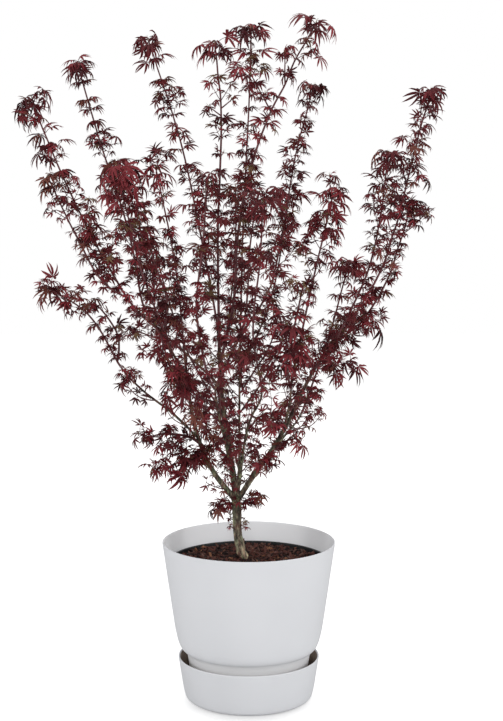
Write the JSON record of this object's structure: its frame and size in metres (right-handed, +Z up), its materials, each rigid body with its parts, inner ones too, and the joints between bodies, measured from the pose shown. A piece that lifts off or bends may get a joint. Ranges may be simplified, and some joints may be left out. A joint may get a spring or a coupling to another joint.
{
  "type": "potted japanese maple",
  "caption": "Young red-leaved maple with an upright, open, vase-shaped crown on a short slender trunk, in a nursery pot inside a round white planter that stands in a water saucer.",
  "frame": {"origin": "on the floor, at the centre of the flat underside of the saucer", "axes": "+Z up along the planter's axis, +X to the right and +Y to the back, seen from the front"},
  "size_m": [0.7125, 0.5575, 1.1779],
  "materials": {
    "planter": "satin moulded plastic, near-white with a faint cool cast",
    "nursery_pot": "thin black moulded plastic",
    "root_ball": "moist compost under a mulch of bark chips",
    "bark": "smooth grey-green young bark",
    "foliage": "open sprays of thin dark wine-red leaves"
  },
  "bodies": {
    "root": {"saucer": "planter", "planter": "planter", "nursery_pot": "nursery_pot", "root_ball": "root_ball", "trunk": "bark", "bough_back": "bark", "bough_centre": "bark", "bough_far_left": "bark", "bough_front": "bark", "bough_front_right": "bark", "bough_left": "bark", "bough_left_back": "bark", "bough_low_left": "bark", "bough_rear": "bark", "bough_right": "bark", "bough_right_back": "bark", "bough_right_front": "bark", "bough_upright_right": "bark", "foliage_back": "foliage", "foliage_back_left": "foliage", "foliage_back_low_left": "foliage", "foliage_back_low_right": "foliage", "foliage_back_low_tall": "foliage", "foliage_back_right": "foliage", "foliage_centre_low": "foliage", "foliage_centre_right": "foliage", "foliage_far_left": "foliage", "foliage_far_right": "foliage", "foliage_front": "foliage", "foliage_front_low": "foliage", "foliage_front_low_left": "foliage", "foliage_front_right_low": "foliage", "foliage_front_right_tall": "foliage", "foliage_front_tall": "foliage", "foliage_high_right": "foliage", "foliage_left_cloud": "foliage", "foliage_left_front": "foliage", "foliage_left_inner": "foliage", "foliage_left_middle": "foliage", "foliage_left_tall": "foliage", "foliage_low_left": "foliage", "foliage_low_left_inner": "foliage", "foliage_lowest_left": "foliage", "foliage_right_foot": "foliage", "foliage_right_front": "foliage", "foliage_right_hanging": "foliage", "foliage_right_inner": "foliage", "foliage_right_low": "foliage", "foliage_right_middle": "foliage", "foliage_right_outer": "foliage", "foliage_right_side": "foliage", "foliage_spray_back": "foliage", "foliage_spray_left": "foliage", "foliage_spray_right": "foliage", "foliage_top": "foliage", "foliage_top_left": "foliage", "foliage_top_middle": "foliage", "foliage_tuft_left": "foliage", "foliage_tuft_right": "foliage"}
  },
  "joints": []
}
